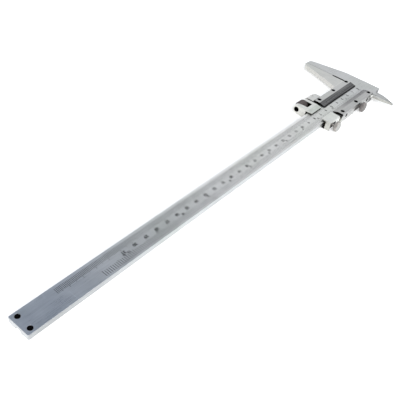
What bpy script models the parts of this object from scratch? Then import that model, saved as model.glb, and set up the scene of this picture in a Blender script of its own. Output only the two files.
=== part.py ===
"""A 300 mm / 12 in vernier caliper with a fine-adjustment carriage.

The caliper lies on its back with its jaws closed. Lengths are in millimetres
and become metres where a mesh is made. The caliper's own axes are:
  x  along the beam: 0 at the closed measuring faces, + towards the free end
  y  across the beam: 0 on its centre line, + towards the short knife jaws
  z  through the thickness: 0 on the slider's back face, + towards the scales
The "caliper" empty shifts these axes so that the scene's origin lies under
the middle of the whole instrument, on the plane that it rests on.
"""
from math import cos, pi, sin

import bmesh
import bpy
from mathutils import Matrix, Vector

MM = 0.001
GAP = 0.3                     # running clearance between neighbouring pieces

# Beam, with the fixed jaws in one piece with it
BEAM_END_X = 390.4
BEAM_HALF_WIDTH = 8.55
BEAM_BACK_Z = 2.5
BEAM_FACE_Z = 6.6
GROOVE_WIDTH = 4.4
GROOVE_DEPTH = 1.7
GROOVE_START_X = 6.0
HEAD_BACK_X = -16.0
HEAD_TOP_Y = 14.8
HEAD_STEP_X = -7.7
JAW_TIP_Y = -58.9
NIB_TOP_Y = -47.3             # the nibs at the jaws' ends begin here
FIXED_NIB_WIDTH = 6.5
STOP_SCREW_X = 386.6
STOP_SCREW_Y = 5.3
STOP_SCREW_RADIUS = 1.58

# Short knife jaws: thin blades that meet along x = 0, their backs bevelled
KNIFE_TIP_Y = 36.5
KNIFE_BACK_Z = 4.6
KNIFE_BEVEL_Z = 5.9           # the shallow bevel on each back starts here
FIXED_KNIFE_FLAT = 0.66       # share of each blade's width that stays flat
SLIDING_KNIFE_FLAT = 0.85
KNIFE_RELIEF_X = 0.6          # the sliding blade's edge stands back at its root
KNIFE_RELIEF_END_Y = 19.0

# Slider: a channel under the beam, with one vernier plate on each rail
SLIDER_START_X = 0.3
SLIDER_END_X = 61.0
SLIDER_JAW_X = 0.1            # the sliding jaw's measuring face
SLIDER_NIB_WIDTH = 4.2
RELIEF_X = 1.4                # the jaw stands back here, next to the beam
RELIEF_END_Y = -28.0
CHANNEL_FLOOR_Z = 2.2
RAIL_TOP_Z = 6.7
LOWER_RAIL_Y = -14.2
UPPER_RAIL_Y = 15.6
UPPER_RAIL_INNER_Y = 10.2     # leaves room for the gib beside the beam
PLATE_START_X = 0.9
PLATE_BACK_Z = 6.85
PLATE_FACE_Z = 8.6
PLATE_EDGE_Z = 7.05
PLATE_END_X = 59.8
METRIC_EDGE_Y = -2.9
METRIC_BEVEL_Y = -8.9
INCH_EDGE_Y = 5.5
INCH_BEVEL_Y = 10.2
PLATE_SCREW_XS = (4.2, 29.4, 54.9)
PLATE_SCREW_Y = 12.1
PLATE_SCREW_BOTTOM_Z = 5.4
SIDE_RECESS_DEPTH = 1.2       # the side faces are cut back beside the thumb screws
SLIDER_RECESS_XS = (21.0, 36.6)

# Gibs: strips that take up the play beside the beam
GIB_INNER_Y = BEAM_HALF_WIDTH + GAP
GIB_OUTER_Y = UPPER_RAIL_INNER_Y - GAP
GIB_BACK_Z = 2.6
GIB_FACE_Z = 6.4
GIB_SCREW_XS = (11.8, 52.2)
GIB_SCREW_Z = 5.0
GIB_SCREW_RADIUS = 1.0
SLIDER_GIB_XS = (1.5, 60.0)

# Fine adjustment: a screw held in the slider, a nut captive in the carriage
FINE_Y = -19.7
FINE_Z = 4.85
FINE_SCREW_RADIUS = 1.5
FINE_SCREW_START_X = 49.8
FINE_SCREW_END_X = 77.0
BARREL_RADIUS = 3.85
BOSS_START_X = 49.3
BOSS_END_X = 62.4             # reaches past the slider, almost to the carriage
BOSS_CORNER_RADIUS = 5.4
GRUB_X = 55.5
CARRIAGE_START_X = 64.2
CARRIAGE_END_X = 80.7
CARRIAGE_BACK_Z = 0.3
CARRIAGE_FACE_Z = FINE_Z + BARREL_RADIUS
CARRIAGE_SIDE_Y = 14.8
UPPER_BLOCK_FACE_Z = 8.3
LOWER_LIP_Y = -4.5
LOWER_LIP_EDGE_Z = 8.0         # the lower lip slopes down to its edge
LOWER_LIP_CREST_Y = -9.0
UPPER_LIP_Y = 5.6
LIP_RELIEF_X = 77.6           # the lips are undercut from here to the end
LIP_RELIEF_Z = 7.4
WINDOW_START_X = 68.0
WINDOW_END_X = 76.0
WINDOW_INNER_Y = -12.0
NUT_RADIUS = 4.75
SCREW_POCKET_X = 72.0         # the bore beyond the window is wider from here
SCREW_POCKET_RADIUS = 2.3
CARRIAGE_RECESS_XS = (70.4, 79.6)
CARRIAGE_GIB_XS = (CARRIAGE_START_X + 1.2, CARRIAGE_END_X - 1.8)

# Thumb screws that lock the slider and the carriage
LOCK_Z = 4.6
SLIDER_LOCK_X = 26.0
CARRIAGE_LOCK_X = 75.0
LOCK_SHANK_RADIUS = 1.3
LOCK_KNOB_RADIUS = 4.5
LOCK_KNOB_START_Y = 17.2
LOCK_KNOB_END_Y = 20.7

ROUND_SEGMENTS = 24
KNURL_TEETH = 30
KNURL_DEPTH = 0.22

STEEL = ((0.62, 0.64, 0.66), 0.32, 1.0)
SATIN = ((0.74, 0.74, 0.73), 0.38, 1.0)
BLACKED = ((0.03, 0.03, 0.03), 0.45, 0.6)
BRONZE = ((0.50, 0.36, 0.20), 0.40, 1.0)
BROWNED = ((0.22, 0.19, 0.18), 0.45, 0.9)


# ---------------------------------------------------------------- helpers

def clear_scene():
    for item in list(bpy.data.objects):
        bpy.data.objects.remove(item, do_unlink=True)


def make_material(name, look):
    colour, roughness, metallic = look
    material = bpy.data.materials.new(name)
    material.use_nodes = True
    shader = material.node_tree.nodes["Principled BSDF"]
    shader.inputs["Base Color"].default_value = (*colour, 1.0)
    shader.inputs["Roughness"].default_value = roughness
    shader.inputs["Metallic"].default_value = metallic
    return material


def make_empty(name, parent=None, place=(0, 0, 0)):
    empty = bpy.data.objects.new(name, None)
    bpy.context.scene.collection.objects.link(empty)
    empty.location = Vector(place) * MM
    empty.parent = parent
    return empty


def add_object(name, mesh_data, parent, look=None, place=(0, 0, 0)):
    """Turn a bmesh in millimetres into an object in metres."""
    bmesh.ops.recalc_face_normals(mesh_data, faces=mesh_data.faces)
    bmesh.ops.scale(mesh_data, vec=(MM, MM, MM), verts=mesh_data.verts)
    mesh = bpy.data.meshes.new(name)
    mesh_data.to_mesh(mesh)
    mesh_data.free()
    item = bpy.data.objects.new(name, mesh)
    bpy.context.scene.collection.objects.link(item)
    item.parent = parent
    item.location = Vector(place) * MM
    if look:
        mesh.materials.append(make_material(name, look))
    return item


def loft(rings):
    """Close a solid through rings of points that have the same count."""
    solid = bmesh.new()
    loops = [[solid.verts.new(point) for point in ring] for ring in rings]
    count = len(loops[0])
    for low, high in zip(loops, loops[1:]):
        for i in range(count):
            j = (i + 1) % count
            solid.faces.new((low[i], low[j], high[j], high[i]))
    solid.faces.new(loops[0][::-1])
    solid.faces.new(loops[-1])
    return solid


def plan_prism(outline, low_z, high_z):
    """Raise an (x, y) outline from low_z to high_z."""
    return loft([[(x, y, z) for x, y in outline] for z in (low_z, high_z)])


def bar(section, start_x, end_x):
    """Draw a (y, z) section along x."""
    return loft([[(x, y, z) for y, z in section] for x in (start_x, end_x)])


def block(low, high):
    corners = [(low[0], low[1]), (high[0], low[1]), (high[0], high[1]), (low[0], high[1])]
    return plan_prism(corners, low[2], high[2])


def arc(centre, radius, start, end, steps):
    """Points of an arc in a plane; the angles are in half turns."""
    angles = [pi * (start + (end - start) * i / steps) for i in range(steps + 1)]
    return [(centre[0] + radius * cos(a), centre[1] + radius * sin(a)) for a in angles]


AXES = {"X": Matrix.Rotation(pi / 2, 4, "Y"), "Y": Matrix.Rotation(-pi / 2, 4, "X"),
        "Z": Matrix.Identity(4)}


def turned(profile, axis, segments=ROUND_SEGMENTS, teeth=0):
    """Turn (height, radius) steps about an axis. A step's third value is a
    knurl depth, and then every second point of its ring lies that much in."""
    count = 2 * teeth if teeth else segments
    rings = []
    for step in profile:
        height, radius = step[0], step[1]
        depth = step[2] if len(step) > 2 else 0.0
        ring = []
        for i in range(count):
            reach = radius - depth * (i % 2)
            angle = 2 * pi * i / count
            ring.append((reach * cos(angle), reach * sin(angle), height))
        rings.append(ring)
    solid = loft(rings)
    bmesh.ops.transform(solid, matrix=AXES[axis], verts=solid.verts)
    return solid


def boolean(target, mesh_data, operation, parent, place=(0, 0, 0)):
    """Apply a helper solid to target with an exact boolean."""
    helper = add_object(f"{target.name}_helper", mesh_data, parent, place=place)
    helper.hide_render = True
    helper.display_type = "WIRE"
    step = target.modifiers.new(operation.lower(), "BOOLEAN")
    step.operation = operation
    step.solver = "EXACT"
    step.object = helper


def cut(target, mesh_data, parent, place=(0, 0, 0)):
    boolean(target, mesh_data, "DIFFERENCE", parent, place)


def add(target, mesh_data, parent, place=(0, 0, 0)):
    boolean(target, mesh_data, "UNION", parent, place)


def shade_round(item, angle=0.6):
    item.data.shade_smooth()
    item.data.set_sharp_from_angle(angle=angle)


# ------------------------------------------------------------------ beam

def head_outline():
    """Outline of the beam and the fixed jaw, counter-clockwise from above."""
    half = BEAM_HALF_WIDTH
    corner = arc((HEAD_BACK_X + 1.2, HEAD_TOP_Y - 1.2), 1.2, 0.5, 1.0, 3)
    return [(BEAM_END_X, -half + 0.5), (BEAM_END_X, half - 0.5), (BEAM_END_X - 0.5, half),
            (0, half), (0, UPPER_RAIL_Y), (HEAD_STEP_X, UPPER_RAIL_Y),
            (HEAD_STEP_X, HEAD_TOP_Y), *corner,
            (HEAD_BACK_X, -20.0), (-15.6, -23.5), (-8.9, -53.3),
            (-FIXED_NIB_WIDTH - 1.0, -57.4), (-FIXED_NIB_WIDTH + 0.6, JAW_TIP_Y),
            (0, JAW_TIP_Y), (0, -half), (BEAM_END_X - 0.5, -half)]


def knife_blade(edge, back, flat):
    """Blade with a straight edge and a bevelled back, from its rear face up.
    Both lines run from root to tip; flat is the share of the width that the
    bevel leaves at the top."""
    full = [*edge, *back[::-1]]
    narrow = [*edge, *[(x * flat, y - 0.3) for x, y in back[::-1]]]
    levels = ((full, KNIFE_BACK_Z), (full, KNIFE_BEVEL_Z), (narrow, BEAM_FACE_Z))
    return loft([[(x, y, z) for x, y in outline] for outline, z in levels])


def fixed_knife():
    edge = [(0, HEAD_TOP_Y - 2), (0, KNIFE_TIP_Y)]
    back = [(HEAD_STEP_X + 0.2, HEAD_TOP_Y - 2), (-8.1, 18.6), (-6.9, 24.7), (-5.0, 28.9),
            (-2.7, 32.6), (-0.5, KNIFE_TIP_Y)]
    return knife_blade(edge, back, FIXED_KNIFE_FLAT)


def make_beam(root):
    beam = add_object("main_beam", plan_prism(head_outline(), BEAM_BACK_Z, BEAM_FACE_Z),
                      root, STEEL)
    add(beam, fixed_knife(), root)
    groove = block((GROOVE_START_X, -GROOVE_WIDTH / 2, BEAM_BACK_Z - 1),
                   (BEAM_END_X + 1, GROOVE_WIDTH / 2, BEAM_BACK_Z + GROOVE_DEPTH))
    cut(beam, groove, root)
    for side in (-1, 1):
        hole = turned([(BEAM_BACK_Z - 1, 1.0), (BEAM_FACE_Z - 1.4, 1.0),
                       (BEAM_FACE_Z - 1.4, STOP_SCREW_RADIUS + 0.2),
                       (BEAM_FACE_Z + 1, STOP_SCREW_RADIUS + 0.2)], "Z")
        cut(beam, hole, root, (STOP_SCREW_X, side * STOP_SCREW_Y, 0))


def slotted_head(target, radius, top_z, place, root):
    slot = block((-radius - 1, -0.25, top_z - 0.45), (radius + 1, 0.25, top_z + 1))
    cut(target, slot, root, place)


def make_stop_screws(root):
    for number, side in ((1, -1), (2, 1)):
        face = BEAM_FACE_Z + 0.1
        profile = [(1.0, 0.5), (1.2, 0.75), (BEAM_FACE_Z - 1.2, 0.75),
                   (BEAM_FACE_Z - 1.2, STOP_SCREW_RADIUS), (face - 0.15, STOP_SCREW_RADIUS),
                   (face, STOP_SCREW_RADIUS - 0.15)]
        place = (STOP_SCREW_X, side * STOP_SCREW_Y, 0)
        screw = add_object(f"end_stop_screw_{number}", turned(profile, "Z"), root, BLACKED, place)
        slotted_head(screw, STOP_SCREW_RADIUS, face, place, root)
        shade_round(screw)


# ---------------------------------------------------------------- slider

def channel_section():
    return [(LOWER_RAIL_Y, 0), (UPPER_RAIL_Y, 0), (UPPER_RAIL_Y, RAIL_TOP_Z),
            (UPPER_RAIL_INNER_Y, RAIL_TOP_Z), (UPPER_RAIL_INNER_Y, CHANNEL_FLOOR_Z),
            (-BEAM_HALF_WIDTH - GAP, CHANNEL_FLOOR_Z), (-BEAM_HALF_WIDTH - GAP, RAIL_TOP_Z),
            (LOWER_RAIL_Y, RAIL_TOP_Z)]


def sliding_jaw_outline():
    """Long sliding jaw, counter-clockwise from the tip's inner corner."""
    foot = arc((24.3, -20.4), 6.4, 0.86, 0.5, 4)
    return [(SLIDER_JAW_X, JAW_TIP_Y), (SLIDER_NIB_WIDTH - 1.4, JAW_TIP_Y),
            (SLIDER_NIB_WIDTH + 0.8, -57.0), (7.6, NIB_TOP_Y), (15.2, -24.6), *foot,
            (24.3, -11.0), (RELIEF_X, -11.0), (RELIEF_X, RELIEF_END_Y),
            (SLIDER_JAW_X, RELIEF_END_Y - 0.8)]


def sliding_knife():
    root_y = UPPER_RAIL_Y - 1.5
    edge = [(KNIFE_RELIEF_X, root_y), (KNIFE_RELIEF_X, KNIFE_RELIEF_END_Y),
            (SLIDER_JAW_X, KNIFE_RELIEF_END_Y + 0.6), (SLIDER_JAW_X, KNIFE_TIP_Y - 0.4)]
    back = [(5.6, root_y), (3.3, UPPER_RAIL_Y + 1.2), (3.0, 22.3), (2.1, 27.4), (1.2, 31.9),
            (0.6, KNIFE_TIP_Y - 0.4)]
    return knife_blade(edge, back, SLIDING_KNIFE_FLAT)


def barrel_back():
    """Round back of the boss and of the carriage, from its top to its bottom."""
    return arc((FINE_Y, FINE_Z), BARREL_RADIUS, 0.5, 1.5, 10)


def boss_plan():
    corner = arc((BOSS_START_X + BOSS_CORNER_RADIUS, FINE_Y - BARREL_RADIUS + BOSS_CORNER_RADIUS),
                 BOSS_CORNER_RADIUS, 1.0, 1.5, 6)
    end_x = BOSS_END_X + 1
    return [*corner, (end_x, FINE_Y - BARREL_RADIUS), (end_x, -10), (BOSS_START_X, -10)]


def make_boss(slider, root):
    """The boss on the lower rail that anchors the fine-adjustment screw."""
    inner_y = LOWER_RAIL_Y - 0.2
    section = [(inner_y, FINE_Z - BARREL_RADIUS), (inner_y, CARRIAGE_FACE_Z), *barrel_back()]
    boss = bar(section, BOSS_START_X, BOSS_END_X)
    helper = add_object("boss_helper", boss, root)
    helper.hide_render = True
    helper.display_type = "WIRE"
    boolean(helper, plan_prism(boss_plan(), -2, 12), "INTERSECT", root)
    join = slider.modifiers.new("boss", "BOOLEAN")
    join.operation = "UNION"
    join.solver = "EXACT"
    join.object = helper
    web = block((BOSS_START_X + 1, FINE_Y + 2, FINE_Z - BARREL_RADIUS + 0.2),
                (SLIDER_END_X - 0.4, LOWER_RAIL_Y + 1, RAIL_TOP_Z - 0.4))
    add(slider, web, root)


def make_slider(root):
    slider = add_object("slider_frame", bar(channel_section(), SLIDER_START_X, SLIDER_END_X),
                        root, SATIN)
    add(slider, plan_prism(sliding_jaw_outline(), BEAM_BACK_Z, BEAM_FACE_Z), root)
    add(slider, sliding_knife(), root)
    make_boss(slider, root)
    cut(slider, turned([(BOSS_START_X - 2, FINE_SCREW_RADIUS + GAP),
                        (BOSS_END_X + 2, FINE_SCREW_RADIUS + GAP)], "X"), root,
        (0, FINE_Y, FINE_Z))
    cut(slider, turned([(FINE_Z, 1.25), (CARRIAGE_FACE_Z + 1, 1.25)], "Z"), root,
        (GRUB_X, FINE_Y, 0))
    cut(slider, block((SLIDER_RECESS_XS[0], UPPER_RAIL_Y - SIDE_RECESS_DEPTH, -1),
                      (SLIDER_RECESS_XS[1], UPPER_RAIL_Y + 1, RAIL_TOP_Z - 0.9)), root)
    for x in PLATE_SCREW_XS:
        for side in (-1, 1):
            cut(slider, turned([(PLATE_SCREW_BOTTOM_Z, 1.0), (RAIL_TOP_Z + 1, 1.0)], "Z", 16), root,
                (x, side * PLATE_SCREW_Y, 0))
    for x in GIB_SCREW_XS:
        cut(slider, turned([(UPPER_RAIL_INNER_Y - 0.5, GIB_SCREW_RADIUS + 0.25),
                            (UPPER_RAIL_Y + 1, GIB_SCREW_RADIUS + 0.25)], "Y", 16), root,
            (x, 0, GIB_SCREW_Z))
    cut(slider, turned([(UPPER_RAIL_INNER_Y - 0.5, LOCK_SHANK_RADIUS + GAP),
                        (UPPER_RAIL_Y + 1, LOCK_SHANK_RADIUS + GAP)], "Y"), root,
        (SLIDER_LOCK_X, 0, LOCK_Z))


def make_plate(name, section, side, root):
    plate = add_object(name, bar(section, PLATE_START_X, PLATE_END_X), root, SATIN)
    for x in PLATE_SCREW_XS:
        hole = turned([(PLATE_BACK_Z - 1, 1.0), (PLATE_FACE_Z - 0.9, 1.0),
                       (PLATE_FACE_Z - 0.9, 1.8), (PLATE_FACE_Z + 1, 1.8)], "Z")
        cut(plate, hole, root, (x, side * PLATE_SCREW_Y, 0))


def make_plates(root):
    metric = [(LOWER_RAIL_Y, PLATE_BACK_Z), (METRIC_EDGE_Y, PLATE_BACK_Z),
              (METRIC_EDGE_Y, PLATE_EDGE_Z), (METRIC_BEVEL_Y, PLATE_FACE_Z),
              (LOWER_RAIL_Y, PLATE_FACE_Z)]
    inch = [(INCH_EDGE_Y, PLATE_BACK_Z), (UPPER_RAIL_Y, PLATE_BACK_Z),
            (UPPER_RAIL_Y, PLATE_FACE_Z), (INCH_BEVEL_Y, PLATE_FACE_Z),
            (INCH_EDGE_Y, PLATE_EDGE_Z)]
    make_plate("metric_vernier_plate", metric, -1, root)
    make_plate("inch_vernier_plate", inch, 1, root)


def make_plate_screws(root):
    number = 0
    for side in (-1, 1):
        for x in PLATE_SCREW_XS:
            number += 1
            face = PLATE_FACE_Z + 0.25
            low = PLATE_SCREW_BOTTOM_Z + 0.2
            profile = [(low, 0.5), (low + 0.2, 0.75), (PLATE_FACE_Z - 0.7, 0.75),
                       (PLATE_FACE_Z - 0.7, 1.55), (face - 0.3, 1.55), (face, 1.1)]
            place = (x, side * PLATE_SCREW_Y, 0)
            screw = add_object(f"vernier_screw_{number}", turned(profile, "Z"), root, BLACKED, place)
            slotted_head(screw, 1.55, face, place, root)
            shade_round(screw)


def make_gib(name, ends, root):
    strip = block((ends[0], GIB_INNER_Y, GIB_BACK_Z), (ends[1], GIB_OUTER_Y, GIB_FACE_Z))
    add_object(name, strip, root, BRONZE)


def make_gib_screws(root):
    for number, x in enumerate(GIB_SCREW_XS, start=1):
        face = UPPER_RAIL_Y - 0.3
        profile = [(UPPER_RAIL_INNER_Y, 0.6), (UPPER_RAIL_INNER_Y + 0.4, GIB_SCREW_RADIUS),
                   (face, GIB_SCREW_RADIUS)]
        place = (x, 0, GIB_SCREW_Z)
        screw = add_object(f"gib_screw_{number}", turned(profile, "Y", 16), root, BLACKED, place)
        cut(screw, block((-2, face - 0.6, -0.2), (2, face + 1, 0.2)), root, place)
        shade_round(screw)


# ------------------------------------------------------- fine adjustment

def make_fine_screw(root):
    profile = [(FINE_SCREW_START_X, 1.2), (FINE_SCREW_START_X + 0.3, FINE_SCREW_RADIUS),
               (FINE_SCREW_END_X - 0.5, FINE_SCREW_RADIUS), (FINE_SCREW_END_X, 1.0)]
    screw = add_object("fine_adjust_screw", turned(profile, "X"), root, STEEL,
                       (0, FINE_Y, FINE_Z))
    shade_round(screw)
    place = (GRUB_X, FINE_Y, 0)
    face = CARRIAGE_FACE_Z - 0.2
    low = FINE_Z + FINE_SCREW_RADIUS + GAP
    pin = [(low, 0.6), (low + 0.4, 1.0), (face, 1.0)]
    grub = add_object("screw_retaining_grub", turned(pin, "Z", 16), root, BLACKED, place)
    slotted_head(grub, 1.0, face, place, root)
    shade_round(grub)


def carriage_section():
    """Section that wraps the beam: two lips above it and a bridge below."""
    inner = BEAM_HALF_WIDTH + GAP
    lip = BEAM_FACE_Z + GAP
    return [(CARRIAGE_SIDE_Y, CARRIAGE_BACK_Z), (CARRIAGE_SIDE_Y, UPPER_BLOCK_FACE_Z - 0.6),
            (CARRIAGE_SIDE_Y - 0.6, UPPER_BLOCK_FACE_Z), (UPPER_LIP_Y, UPPER_BLOCK_FACE_Z),
            (UPPER_LIP_Y, lip), (UPPER_RAIL_INNER_Y, lip), (UPPER_RAIL_INNER_Y, CHANNEL_FLOOR_Z),
            (-inner, CHANNEL_FLOOR_Z), (-inner, lip), (LOWER_LIP_Y, lip),
            (LOWER_LIP_Y, LOWER_LIP_EDGE_Z), (LOWER_LIP_CREST_Y, CARRIAGE_FACE_Z),
            *barrel_back(), (LOWER_RAIL_Y, CARRIAGE_BACK_Z)]


def make_carriage(root):
    carriage = add_object("carriage_body", bar(carriage_section(), CARRIAGE_START_X, CARRIAGE_END_X),
                          root, SATIN)
    cut(carriage, block((WINDOW_START_X, -30, -2), (WINDOW_END_X, WINDOW_INNER_Y, 12)), root)
    bore = [(CARRIAGE_START_X - 1, FINE_SCREW_RADIUS + GAP),
            (SCREW_POCKET_X, FINE_SCREW_RADIUS + GAP), (SCREW_POCKET_X, SCREW_POCKET_RADIUS),
            (CARRIAGE_END_X + 1, SCREW_POCKET_RADIUS)]
    cut(carriage, turned(bore, "X"), root, (0, FINE_Y, FINE_Z))
    undercut = block((LIP_RELIEF_X, -BEAM_HALF_WIDTH - GAP, BEAM_FACE_Z),
                     (CARRIAGE_END_X + 1, UPPER_RAIL_INNER_Y, LIP_RELIEF_Z))
    cut(carriage, undercut, root)
    cut(carriage, block((CARRIAGE_RECESS_XS[0], CARRIAGE_SIDE_Y - SIDE_RECESS_DEPTH, -1),
                        (CARRIAGE_RECESS_XS[1], CARRIAGE_SIDE_Y + 1, BEAM_FACE_Z)), root)
    cut(carriage, turned([(UPPER_RAIL_INNER_Y - 0.5, LOCK_SHANK_RADIUS + GAP),
                          (CARRIAGE_SIDE_Y + 1, LOCK_SHANK_RADIUS + GAP)], "Y"), root,
        (CARRIAGE_LOCK_X, 0, LOCK_Z))


def make_nut(root):
    start, end = WINDOW_START_X + 0.2, WINDOW_END_X - 0.2
    profile = [(start, NUT_RADIUS - 0.7), (start + 0.5, NUT_RADIUS, KNURL_DEPTH),
               (end - 0.5, NUT_RADIUS, KNURL_DEPTH), (end, NUT_RADIUS - 0.7)]
    nut = add_object("fine_adjust_nut", turned(profile, "X", teeth=KNURL_TEETH), root, BROWNED,
                     (0, FINE_Y, FINE_Z))
    cut(nut, turned([(start - 1, FINE_SCREW_RADIUS + 0.1), (end + 1, FINE_SCREW_RADIUS + 0.1)], "X"),
        root, (0, FINE_Y, FINE_Z))


def make_lock_screw(name, x, side_y, root):
    """Thumb screw: a shank against the gib, a collar and a knurled knob."""
    knob = LOCK_KNOB_RADIUS
    start, end = LOCK_KNOB_START_Y, LOCK_KNOB_END_Y
    profile = [(UPPER_RAIL_INNER_Y, LOCK_SHANK_RADIUS - 0.3),
               (UPPER_RAIL_INNER_Y + 0.4, LOCK_SHANK_RADIUS),
               (side_y + GAP, LOCK_SHANK_RADIUS), (side_y + GAP, 2.3), (start, 2.3),
               (start, knob - 0.6), (start + 0.4, knob, KNURL_DEPTH),
               (end - 0.5, knob, KNURL_DEPTH), (end, knob - 0.7)]
    add_object(name, turned(profile, "Y", teeth=KNURL_TEETH), root, BROWNED, (x, 0, LOCK_Z))


# ---------------------------------------------------------------- model

def build():
    clear_scene()
    middle_x = (HEAD_BACK_X + BEAM_END_X) / 2
    middle_y = (JAW_TIP_Y + KNIFE_TIP_Y) / 2
    root = make_empty("caliper", place=(-middle_x, -middle_y, 0))
    make_beam(root)
    make_stop_screws(root)
    make_slider(root)
    make_plates(root)
    make_plate_screws(root)
    make_gib("slider_gib", SLIDER_GIB_XS, root)
    make_gib_screws(root)
    make_lock_screw("slider_lock_screw", SLIDER_LOCK_X, UPPER_RAIL_Y, root)
    make_fine_screw(root)
    make_carriage(root)
    make_gib("carriage_gib", CARRIAGE_GIB_XS, root)
    make_nut(root)
    make_lock_screw("carriage_lock_screw", CARRIAGE_LOCK_X, CARRIAGE_SIDE_Y, root)


build()
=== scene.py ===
"""The looks of a 300 mm / 12 in vernier caliper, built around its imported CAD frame.

Lengths below are in millimetres in the caliper's own axes, and become metres in
the row frame where a mesh is made: x runs along the beam from the closed
measuring faces, y across the beam from its centre line towards the short knife
jaws, and z up from the slider's back face.
"""
from functools import reduce
from math import cos, floor, pi, sin

import bmesh
import bpy
from mathutils import Matrix, Vector


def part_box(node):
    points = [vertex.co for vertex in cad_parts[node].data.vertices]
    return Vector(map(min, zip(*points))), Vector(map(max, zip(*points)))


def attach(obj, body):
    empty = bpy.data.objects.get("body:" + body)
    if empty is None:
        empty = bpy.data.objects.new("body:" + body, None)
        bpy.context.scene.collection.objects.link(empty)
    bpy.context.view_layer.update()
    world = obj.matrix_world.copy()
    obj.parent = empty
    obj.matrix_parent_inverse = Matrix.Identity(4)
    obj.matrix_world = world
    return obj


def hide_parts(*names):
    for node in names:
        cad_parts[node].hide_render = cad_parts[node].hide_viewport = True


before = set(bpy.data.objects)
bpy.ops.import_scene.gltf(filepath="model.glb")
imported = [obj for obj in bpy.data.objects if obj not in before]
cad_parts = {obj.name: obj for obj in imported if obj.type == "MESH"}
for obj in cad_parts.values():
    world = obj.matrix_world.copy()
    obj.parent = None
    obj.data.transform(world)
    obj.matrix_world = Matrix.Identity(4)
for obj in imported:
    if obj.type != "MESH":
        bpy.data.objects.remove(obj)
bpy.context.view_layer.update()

MM = 0.001
HEAD_BACK_X = -16.0           # the beam's back and its highest tip
KNIFE_TIP_Y = 36.5
beam_low, beam_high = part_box("main_beam")
ORIGIN = Vector((beam_low[0] - HEAD_BACK_X * MM, beam_high[1] - KNIFE_TIP_Y * MM, 0.0))
BEAM_FACE_Z = beam_high[2] / MM

# Scales
METRIC_ZERO_X = 3.2
INCH_ZERO_X = 2.7
INCH = 25.4
SIXTEENTH = INCH / 16
METRIC_LENGTH = 358
INCH_LENGTH = 13
LINE_LIFT = 0.015             # the filled lines lie this far off the steel
METRIC_OUTER_Y = -6.5
METRIC_INNER_YS = (-1.3, -1.8, -2.5)      # each tenth, each fifth and the other lines
METRIC_FIGURE_Y = 0.15
METRIC_FIGURES = 32
UNIT_X = METRIC_ZERO_X + 311
UNIT_Y = 2.0
INCH_OUTER_Y = 7.1
INCH_INNER_YS = (2.2, 2.6, 2.9)           # each eighth, each fourth and the other lines
INCH_FIGURE_Y = 2.2
INCH_FIGURE_SHIFTS = (1.5, 2.7)    # figures of one and two digits stand beside their line

# Places on the steel that the materials shade
JAW_ROOT = (-9.0, -9.6)       # in y, where the long jaws leave the beam
SLIDER_END_X = 61.0
CARRIAGE_START_X = 64.2
LIP_FACE_Y = -4.0
SLIDER_RECESS_XS = (21.0, 36.6)
SLIDER_RECESS_Y = 14.4
CARRIAGE_RECESS_XS = (70.4, 79.6)
CARRIAGE_RECESS_Y = 13.6
PLATE_SIDE = (15.4, 15.5)
PLATE_SCREW_XS = (4.2, 29.4, 54.9)
PLATE_SCREW_Y = 12.1
GIB_SCREW_XS = (11.8, 52.2)
GIB_SCREW_Z = 5.0
FINE_Y = -19.7                # the fine-adjustment screw's axis
FINE_Z = 4.85
# Painted shade: the nearly black tone painted into gaps, bores and rings
PAINTED_SHADE_BLACK = (0.012, 0.011, 0.010)     # the nearly black tone of gaps, bores and rings

# Knurls and threads
KNOB_TEETH = 44
NUT_TEETH = 40
THREAD_PITCH = 0.5
THREAD_DEPTH = 0.28


# ------------------------------------------------------------ materials

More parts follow.
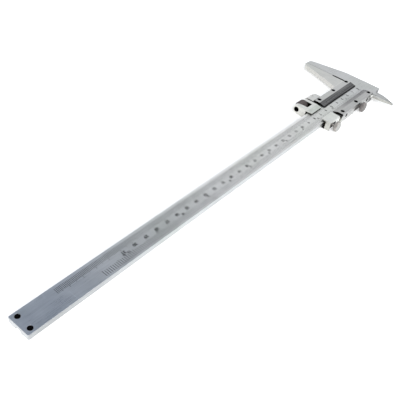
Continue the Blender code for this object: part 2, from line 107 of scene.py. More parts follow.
class Shader:
    """A material's node tree, with short calls that add and join nodes."""

    def __init__(self, name):
        self.material = bpy.data.materials.new(name)
        self.material.use_nodes = True
        self.tree = self.material.node_tree
        self.surface = self.tree.nodes["Principled BSDF"]
        self.coords = self.node("ShaderNodeTexCoord").outputs["Object"]
        away = self.node("ShaderNodeVectorMath", {"operation": "SUBTRACT"})
        self.put(away.inputs[0], self.coords)
        self.put(away.inputs[1], ORIGIN)
        caliper = self.node("ShaderNodeVectorMath", {"operation": "SCALE"}, Scale=1 / MM)
        self.put(caliper.inputs[0], away.outputs[0])
        self.x, self.y, self.z = self.parts(caliper.outputs[0])
        self.nx, self.ny, self.nz = self.parts(self.coords.node.outputs["Normal"])

    def node(self, kind, settings=None, **inputs):
        """A new node with its properties, and its inputs linked or set by name."""
        made = self.tree.nodes.new(kind)
        for key, value in (settings or {}).items():
            setattr(made, key, value)
        for key, value in inputs.items():
            self.put(made.inputs[key.replace("_", " ")], value)
        return made

    def put(self, socket, value):
        if isinstance(value, bpy.types.NodeSocket):
            self.tree.links.new(value, socket)
        else:
            socket.default_value = value

    def math(self, operation, a, b=0.0):
        made = self.node("ShaderNodeMath", {"operation": operation})
        self.put(made.inputs[0], a)
        self.put(made.inputs[1], b)
        return made.outputs[0]

    def squared_from(self, value, centre):
        return self.math("POWER", self.math("SUBTRACT", value, centre), 2.0)

    def average(self, a, b, share=0.5):
        """Two values blended, with this share of the first."""
        return self.math("ADD", self.math("MULTIPLY", a, share),
                         self.math("MULTIPLY", b, 1 - share))

    def noise(self, scale, stretch=(1, 1, 1), detail=3.0, roughness=0.55, shift=0.0):
        mapped = self.node("ShaderNodeMapping", Vector=self.coords, Scale=stretch,
                           Location=(shift, shift * 0.7, shift * 1.3))
        made = self.node("ShaderNodeTexNoise", Vector=mapped.outputs[0], Scale=scale,
                         Detail=detail, Roughness=roughness)
        return made.outputs["Fac"]

    def span(self, value, low, high, to_low=0.0, to_high=1.0):
        """A ramp from to_low where the value is low to to_high where it is high."""
        made = self.node("ShaderNodeMapRange", Value=value)
        for index, number in ((1, low), (2, high), (3, to_low), (4, to_high)):
            made.inputs[index].default_value = number
        return made.outputs[0]

    def mix(self, factor, a, b, blend="MIX"):
        made = self.node("ShaderNodeMix", {"data_type": "RGBA", "blend_type": blend})
        for index, value in ((0, factor), (6, a), (7, b)):
            if isinstance(value, tuple) and len(value) == 3:
                value = (*value, 1.0)
            self.put(made.inputs[index], value)
        return made.outputs[2]

    def parts(self, vector):
        return self.node("ShaderNodeSeparateXYZ", Vector=vector).outputs[:3]

    def within(self, value, low, high, soft=0.08):
        """1 where a value lies between two limits, with soft ends."""
        return self.both(self.span(value, low - soft, low + soft),
                         self.span(value, high + soft, high - soft))

    def inside(self, value, ends):
        """1 between two places on the steel and just past them."""
        return self.within(value, ends[0] - 0.1, ends[1] + 0.1)

    def at(self, value, place):
        """1 on a face that lies at one place."""
        return self.inside(value, (place, place))

    def facing(self, component):
        """1 where the surface looks along an axis, from the normal's component."""
        return self.span(component, 0.6, 0.8)

    def against(self, component):
        """1 where the surface looks the other way along an axis."""
        return self.span(component, -0.6, -0.8)

    def both(self, *masks):
        return reduce(lambda a, b: self.math("MULTIPLY", a, b), masks)

    def either(self, *masks):
        return reduce(lambda a, b: self.math("MAXIMUM", a, b), masks)

    def rings(self, centres, across, outer, inner):
        """Discs round screws in a row along x; across is the squared distance
        from the row, and outer and inner are squared radii."""
        return self.either(*[
            self.span(self.math("ADD", self.squared_from(self.x, centre), across), outer, inner)
            for centre in centres])

    def multiply(self, mask, colour, factor):
        """The colour times a factor where the mask is 1."""
        if not isinstance(factor, tuple):
            factor = (factor, factor, factor)
        return self.mix(mask, colour, self.mix(1.0, colour, factor, "MULTIPLY"))

    def blacken(self, mask, colour):
        """Painted shade, nearly black where the mask is 1, without steel's sheen at low angles.
        A material takes this painted shade once, because it sets its specular tint."""
        tint = self.mix(mask, (1.0, 1.0, 1.0), (0.0, 0.0, 0.0))
        self.put(self.surface.inputs["Specular Tint"], tint)
        return self.mix(mask, colour, PAINTED_SHADE_BLACK)

    def edge(self, radius):
        """Rounded normal near edges, and how far it leans from the true one."""
        bevel = self.node("ShaderNodeBevel", {"samples": 6}, Radius=radius * MM)
        true = self.node("ShaderNodeNewGeometry").outputs["Normal"]
        lean = self.node("ShaderNodeVectorMath", {"operation": "DOT_PRODUCT"})
        self.put(lean.inputs[0], bevel.outputs[0])
        self.put(lean.inputs[1], true)
        return bevel.outputs[0], self.span(lean.outputs["Value"], 0.995, 0.75)

    def bump(self, height, distance, strength, normal):
        made = self.node("ShaderNodeBump", Height=height, Distance=distance * MM,
                         Strength=strength, Normal=normal)
        return made.outputs[0]

    def finish(self, colour, roughness, normal=None, metallic=1.0):
        self.put(self.surface.inputs["Base Color"], colour)
        self.put(self.surface.inputs["Roughness"], roughness)
        if normal is not None:
            self.put(self.surface.inputs["Normal"], normal)
        self.surface.inputs["Metallic"].default_value = metallic
        return self.material


STAIN_TINT = (0.86, 0.90, 0.84)
SCRATCH_LIGHT = (1.3, 1.3, 1.3)
EDGE_COLOUR = (0.93, 0.94, 0.94)


def steel(name, dark, light, rough=(0.26, 0.40), grain=(60, 2600, 2600), edge_light=0.25,
          shade=None):
    """Ground and satin-finished steel: a fine grain, faint clouding, a little
    staining, light handling scratches and brighter edges, partly wear and partly a painted
    highlight.
    shade adds the marks that only one part has, mostly painted light and shade, and returns the
    changed colour."""
    s = Shader(name)
    grain_line = s.noise(1.0, grain, detail=4.0, roughness=0.65)
    cloud = s.noise(70.0, detail=4.0, shift=2.0)
    patches = s.noise(28.0, detail=2.0, shift=5.0)
    tone = s.average(grain_line, cloud, 0.62)
    colour = s.mix(s.span(tone, 0.36, 0.64), dark, light)
    colour = s.multiply(s.span(patches, 0.45, 0.72, 0.0, 0.55), colour, STAIN_TINT)
    scratch = s.noise(1.0, (900, 75, 900), detail=2.0, shift=9.0)
    colour = s.multiply(s.span(scratch, 0.685, 0.71, 0.0, 0.35), colour, SCRATCH_LIGHT)
    if shade:
        colour = shade(s, colour)
    # Brighter edges: partly wear, partly a painted highlight
    round_normal, lean = s.edge(0.22)
    colour = s.mix(s.math("MULTIPLY", lean, edge_light), colour, EDGE_COLOUR)
    roughness = s.span(s.average(cloud, grain_line), 0.35, 0.65, *rough)
    return s.finish(colour, roughness, s.bump(grain_line, 0.012, 0.35, round_normal))


def shade_beam(s, colour):
    """The beam's tones, painted by place: its face has painted light, brighter in the
    middle, and a painted highlight as a bright margin beside the metric scale, and is
    bluer at the free end; its sides are darker with painted shade, less so at the free end.
    The long jaw's measuring face and the strip beside it are painted nearly black as shadow,
    as the gap is with the jaws closed. They stay so when the jaws open, where a real caliper's
    are bright."""
    up = s.facing(s.nz)
    # Painted light: the face is brighter down the middle
    middle = s.both(s.span(s.x, 30.0, 60.0), s.span(s.x, 300.0, 200.0), up)
    colour = s.multiply(middle, colour, (1.26, 1.24, 1.22))
    free_end = s.both(s.span(s.x, 300.0, 370.0), up)
    colour = s.multiply(free_end, colour, (0.83, 0.87, 0.96))
    # Painted highlight: a bright margin beside the metric scale
    margin = s.both(s.span(s.y, -6.1, -7.0), s.span(s.y, -9.2, -8.8),
                    s.span(s.x, 390.0, 290.0), s.span(s.x, 55.0, 62.0), up)
    colour = s.multiply(margin, colour, 1.22)
    # Painted shade on the sides, less of it towards the free end
    colour = s.multiply(s.facing(s.ny), colour, 0.78)
    colour = s.multiply(s.both(s.facing(s.ny), s.span(s.x, 370.0, 290.0)), colour, 1.25)
    # Painted shade on the head's side and on its corner by the knife jaw
    head = s.span(s.x, -2.0, -5.0)
    colour = s.multiply(s.both(s.facing(s.ny), head), colour, 0.22)
    corner = s.both(s.span(s.ny, 0.2, 0.4), s.span(s.nx, -0.2, -0.4), head)
    colour = s.multiply(corner, colour, 0.30)
    knife = s.span(s.y, 15.5, 17.5)
    colour = s.multiply(knife, colour, 0.88)
    # The knife jaws' seam, then painted shade on the fixed one's curved back and on the strip
    # of the top along it
    seam = s.both(s.within(s.x, -0.35, 0.1, 0.06), knife, up)
    colour = s.multiply(seam, colour, 0.55)
    back = s.both(s.span(s.nx, -0.1, -0.2), s.span(s.nz, 0.1, 0.3), s.span(s.y, 14.0, 15.0))
    curve = s.math("MULTIPLY", s.squared_from(s.y, 18.3), 0.0157)
    from_back = s.math("SUBTRACT", s.math("SUBTRACT", s.x, curve), -5.35)
    back_strip = s.both(s.span(from_back, 1.0, 0.7), s.span(s.y, 16.0, 18.0), up)
    colour = s.multiply(s.either(back, back_strip), colour, 0.66)
    colour = s.multiply(s.both(s.span(s.y, 27.0, 33.0), up), colour, 0.74)
    tip = s.both(s.span(s.y, 33.5, 36.2), up)
    colour = s.multiply(tip, colour, 0.55)
    # Painted shadow: the long jaw's measuring face and strips of the top beside it
    below = s.span(s.y, *JAW_ROOT)
    colour = s.blacken(s.both(s.facing(s.nx), s.at(s.x, 0.0), below), colour)
    wide_rim = s.both(s.within(s.x, -0.75, 0.1, 0.06), below, s.span(s.y, -28.0, -26.5), up)
    colour = s.multiply(wide_rim, colour, 0.05)
    thin_rim = s.both(s.within(s.x, -0.30, 0.1, 0.06), below, up)
    return s.multiply(thin_rim, colour, 0.35)


def shade_frame(s, colour):
    """The slider's frame and the carriage, painted by place: painted shade, nearly black, in
    the channel, the bore, the window, the recesses and the gap between the two, on the lip's
    face, round the gib screws and on the long jaw's measuring face, which stays so when the
    jaws open; painted shade greys the sides and knife jaw, and painted light brightens the
    carriage's top."""
    # Painted shade, nearly black: the bore, the channel, the window, the gap between slider and
    # carriage, the recesses and their ends, rings round the gib screws, the lip's face and the
    # long jaw's measuring face
    from_axis = s.math("ADD", s.squared_from(s.y, FINE_Y), s.squared_from(s.z, FINE_Z))
    bore = s.both(s.span(s.math("SQRT", from_axis), 2.42, 2.36),
                  s.span(s.x, 48.5, 49.0))
    channel = s.both(s.within(s.y, -10.6, 10.3), s.span(s.z, 7.5, 7.42))
    window = s.both(s.within(s.x, 67.8, 76.2), s.span(s.y, -11.8, -12.05),
                    s.span(s.nz, 0.4, 0.2), s.span(s.ny, 0.2, 0.0),
                    s.either(s.facing(s.nx), s.against(s.nx), s.against(s.ny)))
    between = s.both(s.either(s.both(s.facing(s.nx), s.at(s.x, SLIDER_END_X)),
                              s.both(s.against(s.nx), s.at(s.x, CARRIAGE_START_X))),
                     s.span(s.y, -15.0, -14.0), s.span(s.z, 4.6, 6.2))
    recess = s.both(s.facing(s.ny), s.inside(s.x, CARRIAGE_RECESS_XS),
                    s.at(s.y, CARRIAGE_RECESS_Y))
    slider_recess = s.both(s.facing(s.ny), s.inside(s.x, SLIDER_RECESS_XS),
                           s.at(s.y, SLIDER_RECESS_Y))
    # Painted shade in the slider's recess under its thumb screw
    colour = s.multiply(slider_recess, colour, (0.17, 0.16, 0.155))
    ends = s.both(s.facing(s.nx), s.either(*[
        s.both(s.at(s.x, xs[0]), s.span(s.y, floor_y - 0.2, floor_y - 0.1))
        for xs, floor_y in ((CARRIAGE_RECESS_XS, CARRIAGE_RECESS_Y),
                            (SLIDER_RECESS_XS, SLIDER_RECESS_Y))]))
    on_slider = s.span(s.x, SLIDER_END_X + 1.0, SLIDER_END_X)
    gib_rings = s.both(s.rings(GIB_SCREW_XS, s.squared_from(s.z, GIB_SCREW_Z), 3.4, 2.8),
                       s.span(s.y, 12.0, 12.2), on_slider)
    lip = s.both(s.facing(s.ny), s.at(s.y, LIP_FACE_Y))
    measuring_face = s.both(s.against(s.nx), s.span(s.x, 1.1, 1.0), s.span(s.y, *JAW_ROOT))
    # Painted shade, a little green, on faces that lean a little towards +y
    colour = s.multiply(s.both(s.within(s.ny, 0.05, 0.5), s.facing(s.nz)), colour,
                        (0.85, 0.88, 0.85))
    # Painted shade on the slider's sides facing +y, darkest near the jaws
    side = s.both(s.facing(s.ny), on_slider)
    colour = s.multiply(side, colour, 0.68)
    colour = s.multiply(s.both(side, s.span(s.x, 12.0, 2.0)), colour, 0.26)
    jaw = s.both(s.span(s.y, -15.0, -17.0), s.span(s.x, 46.0, 42.0))
    colour = s.multiply(jaw, colour, 0.88)
    # Painted shade on the carriage's near end
    near_end = s.both(s.facing(s.nx), s.span(s.x, 80.0, 80.4), s.span(s.y, 0.0, 4.0))
    colour = s.multiply(near_end, colour, 0.86)
    # Painted light on the carriage's top
    carriage_top = s.both(s.span(s.x, 63.0, 64.0), s.facing(s.nz))
    colour = s.multiply(carriage_top, colour, 1.10)
    # Painted shade on the knife jaw, most on its faces towards +x
    blade = s.span(s.y, 15.8, 17.6)
    colour = s.multiply(blade, colour, 0.92)
    colour = s.multiply(s.both(blade, s.facing(s.nx)), colour, 0.80)
    # Painted shade: faces towards +x are a little darker and warmer
    colour = s.multiply(s.facing(s.nx), colour, (0.90, 0.88, 0.85))
    return s.blacken(s.either(bore, channel, window, between, recess, ends, gib_rings, lip,
                              measuring_face), colour)


def shade_plate(s, colour, slope, dark_tone, screw_y):
    """A vernier plate with painted shade: its top is darker, its sloping edge has its own
    darker tone and its side is darker, and its end towards the carriage, its thin edge over the
    beam and rings round its screws are nearly black."""
    # Painted shade: the top is darker, and the slope takes its darker tone
    colour = s.multiply(s.facing(s.nz), colour, 0.80)
    colour = s.mix(slope, colour, dark_tone)
    # Painted shade, nearly black: rings round the screws, the end towards the carriage and the
    # thin edge over the beam
    rings = s.both(s.rings(PLATE_SCREW_XS, s.squared_from(s.y, screw_y), 4.2, 3.2),
                   s.facing(s.nz))
    end = s.both(s.facing(s.nx), s.span(s.x, 59.5, 59.7))
    rim = s.both(s.span(s.z, 7.06, 7.03), s.span(s.nz, 0.2, 0.1))
    # Painted shade on the side
    side = s.both(s.facing(s.ny), s.span(s.y, *PLATE_SIDE))
    colour = s.multiply(side, colour, 0.62)
    return s.blacken(s.either(rings, end, rim), colour)


def shade_metric_plate(s, colour):
    """The metric vernier's sloping edge is painted dark as a reflection, with a streaked grain,
    and painted shade makes it darker along its foot and along its crest towards the carriage."""
    slope = s.both(s.span(s.ny, 0.12, 0.2), s.span(s.nz, 0.5, 0.8))
    streak = s.noise(1.0, (25, 1400, 1400), detail=3.0, shift=3.0)
    tone = s.mix(s.span(streak, 0.34, 0.66), (0.085, 0.086, 0.088), (0.225, 0.227, 0.23))
    # Painted shade along the crest and along the foot
    crest = s.both(s.span(s.y, -8.1, -8.5), s.span(s.x, 28.0, 45.0))
    foot = s.span(s.y, -4.1, -3.8)
    tone = s.multiply(foot, tone, 0.05)
    return shade_plate(s, colour, slope, s.multiply(crest, tone, 0.45), -PLATE_SCREW_Y)


def shade_inch_plate(s, colour):
    """Painted shade: the inch vernier's top is a little darker, and its slope and its side are
    grey towards the jaws.
    """
    # Painted shade on the top, then on the side towards the jaws
    colour = s.multiply(s.facing(s.nz), colour, 0.86)
    head_end = s.both(s.facing(s.ny), s.span(s.y, *PLATE_SIDE), s.span(s.x, 16.0, 10.0))
    colour = s.multiply(head_end, colour, 0.45)
    slope = s.both(s.span(s.ny, -0.12, -0.2), s.span(s.nz, 0.5, 0.8),
                   s.span(s.x, 54.0, 34.0, 0.15, 0.9), s.span(s.y, 10.4, 8.8, 0.35, 1.0))
    return shade_plate(s, colour, slope, (0.20, 0.20, 0.21), PLATE_SCREW_Y)


def shade_knob(s, colour):
    """A thumb screw's turned end is bare steel; its knurl and shank are browned.
    The carriage's screw is painted brighter than the slider's, as painted light."""
    # Painted light: the carriage's screw and its turned end are brighter
    on_carriage = s.span(s.x, 60.0, 63.0)
    colour = s.multiply(on_carriage, colour, (1.50, 1.55, 1.50))
    face = s.mix(on_carriage, (0.21, 0.20, 0.19), (0.45, 0.45, 0.43))
    return s.mix(s.facing(s.ny), colour, face)


BARE_EDGE = (0.42, 0.41, 0.40)


def oxide(name, dark, light, rough=(0.38, 0.55), metallic=0.7, wear=0.45, sheen=1.0,
          shade=None):
    """Blacked or browned steel, rubbed bare along its edges."""
    s = Shader(name)
    fine = s.noise(2200.0, detail=3.0)
    cloud = s.noise(420.0, detail=3.0, shift=4.0)
    tone = s.average(fine, cloud)
    colour = s.mix(s.span(tone, 0.35, 0.65), dark, light)
    if shade:
        colour = shade(s, colour)
    round_normal, lean = s.edge(0.12)
    worn = s.math("MULTIPLY", lean, s.span(cloud, 0.40, 0.62, 0.05, wear))
    colour = s.mix(worn, colour, BARE_EDGE)
    roughness = s.span(tone, 0.3, 0.7, *rough)
    s.surface.inputs["Specular Tint"].default_value = (sheen, sheen, sheen, 1.0)
    return s.finish(colour, roughness, s.bump(fine, 0.01, 0.3, round_normal), metallic)


def paint(name, dark, light):
    """The dull filling of engraved lines and figures."""
    s = Shader(name)
    tone = s.noise(5200.0, detail=3.0)
    colour = s.mix(s.span(tone, 0.3, 0.7), dark, light)
    s.surface.inputs["Specular IOR Level"].default_value = 0.2
    return s.finish(colour, s.span(tone, 0.3, 0.7, 0.5, 0.72), metallic=0.0)


BEAM_STEEL = steel("beam_ground_steel", (0.49, 0.50, 0.505), (0.66, 0.67, 0.675),
                   shade=shade_beam)
FRAME_STEEL = steel("frame_satin_steel", (0.66, 0.66, 0.65), (0.84, 0.84, 0.82),
                    rough=(0.30, 0.44), grain=(90, 90, 2200), shade=shade_frame)
METRIC_PLATE_STEEL = steel("metric_plate_steel", (0.62, 0.63, 0.63), (0.80, 0.80, 0.79),
                           edge_light=0.12, shade=shade_metric_plate)
INCH_PLATE_STEEL = steel("inch_plate_steel", (0.62, 0.63, 0.63), (0.80, 0.80, 0.79),
                         edge_light=0.12, shade=shade_inch_plate)
ROD_STEEL = steel("adjusting_screw_steel", (0.20, 0.20, 0.20), (0.36, 0.36, 0.35),
                  grain=(2400, 200, 200))
BLACKED = oxide("blacked_steel", (0.002, 0.002, 0.0025), (0.009, 0.009, 0.010),
                rough=(0.5, 0.65), metallic=1.0, wear=0.07, sheen=0.0)
BROWNED = oxide("browned_knurl", (0.17, 0.155, 0.15), (0.36, 0.335, 0.325), metallic=0.9,
                shade=shade_knob)
NUT_BROWN = oxide("browned_nut", (0.055, 0.045, 0.045), (0.20, 0.17, 0.17), metallic=0.85)
GIB_BRONZE = oxide("gib_bronze_aged", (0.03, 0.024, 0.018), (0.09, 0.068, 0.045), metallic=0.9)
LINE_PAINT = paint("scale_filling", (0.004, 0.004, 0.005), (0.016, 0.016, 0.017))

NODE_LOOKS = {
    "main_beam": BEAM_STEEL, "slider_frame": FRAME_STEEL, "carriage_body": FRAME_STEEL,
    "metric_vernier_plate": METRIC_PLATE_STEEL, "inch_vernier_plate": INCH_PLATE_STEEL,
    "slider_gib": GIB_BRONZE, "carriage_gib": GIB_BRONZE, "fine_adjust_screw": ROD_STEEL,
    "fine_adjust_nut": NUT_BROWN, "slider_lock_screw": BROWNED, "carriage_lock_screw": BROWNED,
    "screw_retaining_grub": FRAME_STEEL,
}
for node_name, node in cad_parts.items():
    look = NODE_LOOKS.get(node_name, BLACKED)
    node.data.materials.clear()
    node.data.materials.append(look)


# --------------------------------------------------------------- meshes

def place(x, y, z):
    return ORIGIN + Vector((x, y, z)) * MM


def make_piece(name, mesh_data, look, body, smooth=None):
    mesh = bpy.data.meshes.new(name)
    mesh_data.to_mesh(mesh)
    mesh_data.free()
    mesh.materials.append(look)
    item = bpy.data.objects.new(name, mesh)
    bpy.context.scene.collection.objects.link(item)
    if smooth:
        mesh.shade_smooth()
        mesh.set_sharp_from_angle(angle=smooth)
    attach(item, body)
    return item


def add_line(mesh_data, x, width, ends, height_at):
    """One filled line across the scale: a thin raised strip with closed sides."""
    tops = []
    for side_x, y in ((x - width / 2, ends[0]), (x + width / 2, ends[0]),
                      (x + width / 2, ends[1]), (x - width / 2, ends[1])):
        tops.append(place(side_x, y, height_at(y) + LINE_LIFT))
    low = [mesh_data.verts.new(point - Vector((0, 0, LINE_LIFT * MM * 0.9))) for point in tops]
    high = [mesh_data.verts.new(point) for point in tops]
    mesh_data.faces.new(high)
    mesh_data.faces.new(low[::-1])
    for i in range(4):
        j = (i + 1) % 4
        mesh_data.faces.new((low[i], low[j], high[j], high[i]))


def add_figures(mesh_data, text, centre, size, slope=0.0, weight=0.012):
    """Figures from Blender's own plain font, as a thin mesh laid on the steel."""
    curve = bpy.data.curves.new("figure", "FONT")
    curve.body = text
    curve.size = size
    curve.align_x = "CENTER"
    curve.align_y = "CENTER"
    curve.extrude = LINE_LIFT * 0.45
    curve.offset = weight
    curve.resolution_u = 3
    holder = bpy.data.objects.new("figure", curve)
    bpy.context.scene.collection.objects.link(holder)
    mesh = bpy.data.meshes.new_from_object(holder)
    x, y, z = centre
    turn = Matrix.Rotation(slope, 4, "X")
    mesh.transform(Matrix.Translation(place(x, y, z + LINE_LIFT * 0.55))
                   @ Matrix.Scale(MM, 4) @ turn)
    mesh_data.from_mesh(mesh)
    bpy.data.objects.remove(holder)
    bpy.data.curves.remove(curve)
    bpy.data.meshes.remove(mesh)


def flat(y):
    return BEAM_FACE_Z


# ---------------------------------------------------- scales on the beam

def inner_end(mark, long_each, middle_each, ends):
    return ends[0] if mark % long_each == 0 else ends[1] if mark % middle_each == 0 else ends[2]


def line_width(mark, width, extra, start, length):
    """Lines grow wider towards the free end, over some lines from a start."""
    return width + extra * min(1.0, max(0.0, (mark - start) / length))


def make_metric_scale():
    lines = bmesh.new()
    for mark in range(METRIC_LENGTH + 1):
        inner = inner_end(mark, 10, 5, METRIC_INNER_YS)
        width = line_width(mark, 0.13, 0.14, 290, 40)
        add_line(lines, METRIC_ZERO_X + mark, width, (METRIC_OUTER_Y, inner), flat)
    make_piece("metric_scale_lines", lines, LINE_PAINT, "beam")
    figures = bmesh.new()
    for centimetre in range(METRIC_FIGURES):
        centre = (METRIC_ZERO_X + 10 * centimetre, METRIC_FIGURE_Y, BEAM_FACE_Z)
        add_figures(figures, str(centimetre), centre, 3.3, weight=0.12)
    make_piece("metric_scale_figures", figures, LINE_PAINT, "beam")


def make_inch_scale():
    lines = bmesh.new()
    for mark in range(16 * INCH_LENGTH + 1):
        inner = inner_end(mark, 8, 4, INCH_INNER_YS)
        width = line_width(mark, 0.20, 0.15, 170, 25)
        add_line(lines, INCH_ZERO_X + mark * SIXTEENTH, width, (inner, INCH_OUTER_Y), flat)
    make_piece("inch_scale_lines", lines, LINE_PAINT, "beam")
    figures = bmesh.new()
    for inch in range(INCH_LENGTH):
        shift = INCH_FIGURE_SHIFTS[len(str(inch)) - 1]
        centre = (INCH_ZERO_X + inch * INCH + shift, INCH_FIGURE_Y, BEAM_FACE_Z)
        add_figures(figures, str(inch), centre, 2.4, weight=0.12)
    add_figures(figures, "in", (UNIT_X, UNIT_Y, BEAM_FACE_Z), 2.4, weight=0.10)
    make_piece("inch_scale_figures", figures, LINE_PAINT, "beam")


# ------------------------------------------------------------- verniers

METRIC_EDGE = (-2.9, 7.05)    # y and z of each slope's edge and crest
METRIC_CREST = (-8.9, 8.6)
INCH_EDGE = (5.5, 7.05)
INCH_CREST = (10.2, 8.6)
METRIC_VERNIER_STEP = 0.98    # 50 divisions over 49 mm
INCH_VERNIER_STEP = SIXTEENTH * 7 / 8     # 8 divisions over 7/16 in


def make_vernier(name, edge, crest, zero_x, step, marks, long_each, lengths, figure_gap,
                 figure_size, figure_each):
    """A vernier's lines and figures on its plate's slope; every figure_each'th
    line adds 1 to the figure, and each long line has one."""
    edge_y, edge_z = edge
    rise = (crest[1] - edge_z) / (crest[0] - edge_y)
    side = 1 if crest[0] > edge_y else -1

    def height(y):
        return edge_z + (y - edge_y) * rise

    lines, figures = bmesh.new(), bmesh.new()
    for mark in range(marks + 1):
        is_long = mark % long_each == 0
        x = zero_x + mark * step
        length = lengths[0] if is_long else lengths[1]
        ends = sorted((edge_y + side * 0.05, edge_y + side * length))
        add_line(lines, x, 0.15, ends, height)
        if is_long:
            y = edge_y + side * figure_gap
            add_figures(figures, str(mark // figure_each), (x, y, height(y)), figure_size,
                        slope=rise)
    make_piece(name + "_lines", lines, LINE_PAINT, "slider")
    make_piece(name + "_figures", figures, LINE_PAINT, "slider")


def make_verniers():
    make_vernier("metric_vernier", METRIC_EDGE, METRIC_CREST, METRIC_ZERO_X,
                 METRIC_VERNIER_STEP, marks=50, long_each=5, lengths=(2.1, 1.5),
                 figure_gap=3.1, figure_size=1.7, figure_each=5)
    make_vernier("inch_vernier", INCH_EDGE, INCH_CREST, INCH_ZERO_X,
                 INCH_VERNIER_STEP, marks=8, long_each=4, lengths=(1.9, 1.3),
                 figure_gap=2.8, figure_size=1.6, figure_each=1)


# ------------------------------------------- knurled and threaded pieces

def turned_field(levels, radius_at, segments, centre, axis):
    """A closed body round an axis; radius_at(height, angle) gives its surface."""
    solid = bmesh.new()
    rings = []
    for height in levels:
        ring = []
        for i in range(segments):
            angle = 2 * pi * i / segments
            reach = radius_at(height, angle)
            a, b = reach * cos(angle), reach * sin(angle)
            offset = {"X": (0, a, b), "Y": (b, 0, a)}[axis]
            along = {"X": (height, 0, 0), "Y": (0, height, 0)}[axis]
            point = [c + o + w for c, o, w in zip(centre, offset, along)]
            ring.append(solid.verts.new(place(*point)))
        rings.append(ring)
    for low, high in zip(rings, rings[1:]):
        for i in range(segments):
            j = (i + 1) % segments
            solid.faces.new((low[i], low[j], high[j], high[i]))
    solid.faces.new(rings[0][::-1])
    solid.faces.new(rings[-1])
    bmesh.ops.recalc_face_normals(solid, faces=solid.faces)
    return solid


def profile_radius(profile, height):
    """Radius of a (height, radius) profile at a height."""
    for (h0, r0), (h1, r1) in zip(profile, profile[1:]):
        if h0 <= height <= h1:
            return r0 if h1 == h0 else r0 + (r1 - r0) * (height - h0) / (h1 - h0)
    return profile[-1][1]


def spaced(start, end, count):
    return [start + (end - start) * i / count for i in range(count + 1)]


def extent_along_x(node_name):
    """A turned node's ends on the x axis, its radius and its axis."""
    low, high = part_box(node_name)
    start, end = (low[0] - ORIGIN.x) / MM, (high[0] - ORIGIN.x) / MM
    radius = (high[2] - low[2]) / 2 / MM
    centre = (0, (low[1] + high[1]) / 2 / MM - ORIGIN.y / MM, (low[2] + high[2]) / 2 / MM)
    return start, end, radius, centre


def ridge(height, angle):
    """1 on a thread's crest and 0 at its root."""
    phase = height / THREAD_PITCH - angle / (2 * pi)
    return abs(2 * (phase - floor(phase)) - 1)


def make_adjusting_thread():
    start, end, radius, centre = extent_along_x("fine_adjust_screw")

    def reach(height, angle):
        taper = min(1.0, (height - start) / 0.5, (end - height) / 0.5)
        cut = THREAD_DEPTH * (1 - ridge(height, angle))
        return max(0.2, radius - cut - 0.45 * (1 - taper))

    solid = turned_field(spaced(start, end, int((end - start) / THREAD_PITCH * 6)), reach, 20,
                         centre, "X")
    thread = make_piece("adjusting_screw_thread", solid, ROD_STEEL, "slider", 0.9)
    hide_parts("fine_adjust_screw")


def knurl(angle, teeth, depth):
    """How far the surface lies in from the tips of rounded teeth."""
    phase = (angle * teeth / (2 * pi)) % 1.0
    return depth * (2 * phase - 1) ** 2


def make_nut():
    start, end, radius, centre = extent_along_x("fine_adjust_nut")
    middle = (start + end) / 2
    profile = [(start, radius - 0.9), (start + 0.6, radius), (middle - 0.35, radius),
               (middle - 0.1, radius - 0.45), (middle + 0.1, radius - 0.45),
               (middle + 0.35, radius), (end - 0.6, radius), (end, radius - 0.9)]

    def reach(height, angle):
        outer = profile_radius(profile, height)
        depth = 0.30 * min(1.0, max(0.0, (outer - radius + 0.5) / 0.3))
        return outer - knurl(angle, NUT_TEETH, depth)

    levels = sorted({h for h, _ in profile} | {start + 0.3, end - 0.3})
    solid = turned_field(levels, reach, NUT_TEETH * 6, centre, "X")
    nut = make_piece("adjusting_nut_knurled", solid, NUT_BROWN, "fine_nut", 0.6)
    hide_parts("fine_adjust_nut")


def make_thumb_screw(node_name, piece_name, body):
    low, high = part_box(node_name)
    start, end = low[1] / MM - ORIGIN.y / MM, high[1] / MM - ORIGIN.y / MM
    radius = (high[2] - low[2]) / 2 / MM
    centre = ((low[0] + high[0]) / 2 / MM - ORIGIN.x / MM, 0, (low[2] + high[2]) / 2 / MM)
    knob_start = end - 3.5
    shank = 1.3
    collar = 2.3
    collar_start = knob_start - 1.3
    profile = [(start, shank - 0.3), (start + 0.4, shank), (collar_start - 0.001, shank),
               (collar_start, collar - 0.15), (collar_start + 0.15, collar),
               (knob_start - 0.001, collar), (knob_start, radius - 0.7),
               (knob_start + 0.45, radius), (end - 0.55, radius), (end - 0.1, radius - 0.6),
               (end, radius - 0.95)]

    def reach(height, angle):
        outer = profile_radius(profile, height)
        if height < collar_start:
            return outer - 0.2 * (1 - ridge(height, angle))
        depth = 0.26 * min(1.0, max(0.0, (outer - radius + 0.5) / 0.4))
        return outer - (knurl(angle, KNOB_TEETH, depth) if height >= knob_start else 0.0)

    thread_levels = spaced(start + 0.4, collar_start - 0.001,
                           int((collar_start - start) / THREAD_PITCH * 5))
    levels = sorted({h for h, _ in profile} | set(thread_levels)
                    | {knob_start + 0.2, end - 0.3, end - 0.42})
    solid = turned_field(levels, reach, KNOB_TEETH * 5, centre, "Y")
    # The turned end: a rim, a sunk ring and a raised middle
    face = solid.faces[-1]
    for inset, sink in ((0.25, 0.0), (0.25, -0.18), (1.6, 0.0), (0.3, 0.1)):
        bmesh.ops.inset_region(solid, faces=[face], thickness=inset * MM, depth=sink * MM,
                               use_even_offset=True)
    screw = make_piece(piece_name, solid, BROWNED, body, 0.6)
    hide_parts(node_name)


make_metric_scale()
make_inch_scale()
make_verniers()
make_adjusting_thread()
make_nut()
make_thumb_screw("slider_lock_screw", "slider_thumb_screw", "slider_lock")
make_thumb_screw("carriage_lock_screw", "carriage_thumb_screw", "carriage_lock")


# ------------------------------------------------------------ the studio

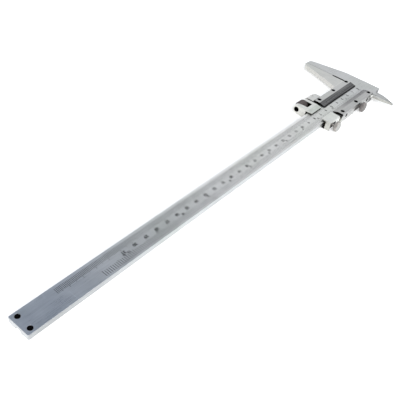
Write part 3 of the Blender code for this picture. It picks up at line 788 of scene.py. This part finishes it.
def make_floor():
    mesh_data = bmesh.new()
    bmesh.ops.create_grid(mesh_data, x_segments=2, y_segments=2, size=4.0)
    mesh = bpy.data.meshes.new("studio_floor")
    mesh_data.to_mesh(mesh)
    mesh_data.free()
    s = Shader("studio_floor")
    tone = s.noise(3.0, detail=2.0)
    s.finish(s.mix(tone, (0.90, 0.90, 0.90), (0.93, 0.93, 0.93)), 0.9, metallic=0.0)
    s.surface.inputs["Emission Color"].default_value = (1, 1, 1, 1)
    s.surface.inputs["Emission Strength"].default_value = 0.35
    mesh.materials.append(s.material)
    floor_plane = bpy.data.objects.new("studio_floor", mesh)
    bpy.context.scene.collection.objects.link(floor_plane)


# (sine of elevation, brightness) of the studio's sky, from the horizon up
SKY = ((0.0, (1.0, 1.0, 1.0)), (0.42, (0.95, 0.96, 0.97)), (0.58, (0.92, 0.925, 0.93)),
       (0.67, (0.74, 0.75, 0.765)), (0.79, (0.37, 0.42, 0.49)), (1.0, (0.31, 0.35, 0.41)))


def make_sky():
    world = bpy.data.worlds.new("studio_sky")
    bpy.context.scene.world = world
    world.use_nodes = True
    tree = world.node_tree
    background = tree.nodes["Background"]
    coords = tree.nodes.new("ShaderNodeTexCoord")
    split = tree.nodes.new("ShaderNodeSeparateXYZ")
    ramp = tree.nodes.new("ShaderNodeValToRGB")
    tree.links.new(coords.outputs["Generated"], split.inputs[0])
    tree.links.new(split.outputs["Z"], ramp.inputs[0])
    tree.links.new(ramp.outputs[0], background.inputs["Color"])
    stops = ramp.color_ramp.elements
    while len(stops) < len(SKY):
        stops.new(0.5)
    for stop, (position, colour) in zip(stops, SKY):
        stop.position = position
        stop.color = (*colour, 1.0)
    background.inputs["Strength"].default_value = 1.0


def add_light(name, position, target, size, power):
    light = bpy.data.lights.new(name, "AREA")
    light.shape = "DISK"
    light.size = size
    light.energy = power
    item = bpy.data.objects.new(name, light)
    item.location = position
    aim = Vector(target) - Vector(position)
    item.rotation_euler = aim.to_track_quat("-Z", "Y").to_euler()
    bpy.context.scene.collection.objects.link(item)


def make_camera():
    """The camera at the photograph's viewing angle: its axes and its place."""
    camera = bpy.data.cameras.new("photo_camera")
    camera.lens = 51.95
    camera.sensor_width = 36.0
    camera.clip_start = 0.01
    item = bpy.data.objects.new("photo_camera", camera)
    right = Vector((-0.63251, 0.76309, 0.13275))
    up = Vector((-0.44525, -0.49846, 0.74383))
    back = Vector((0.63378, 0.41137, 0.65505))
    spot = Vector((0.30526, 0.17590, 0.26725))
    item.matrix_world = Matrix([[right[i], up[i], back[i], spot[i]] for i in range(3)]
                               + [[0, 0, 0, 1]])
    bpy.context.scene.collection.objects.link(item)
    bpy.context.scene.camera = item


make_floor()
make_sky()
add_light("key_soft", (1.1, 1.0, 1.3), (0, 0, 0), 1.2, 22)
add_light("fill_soft", (-0.4, 1.5, 0.9), (-0.1, 0, 0), 1.0, 8)
make_camera()
bpy.context.scene.view_settings.view_transform = "Standard"
bpy.context.scene.view_settings.look = "None"
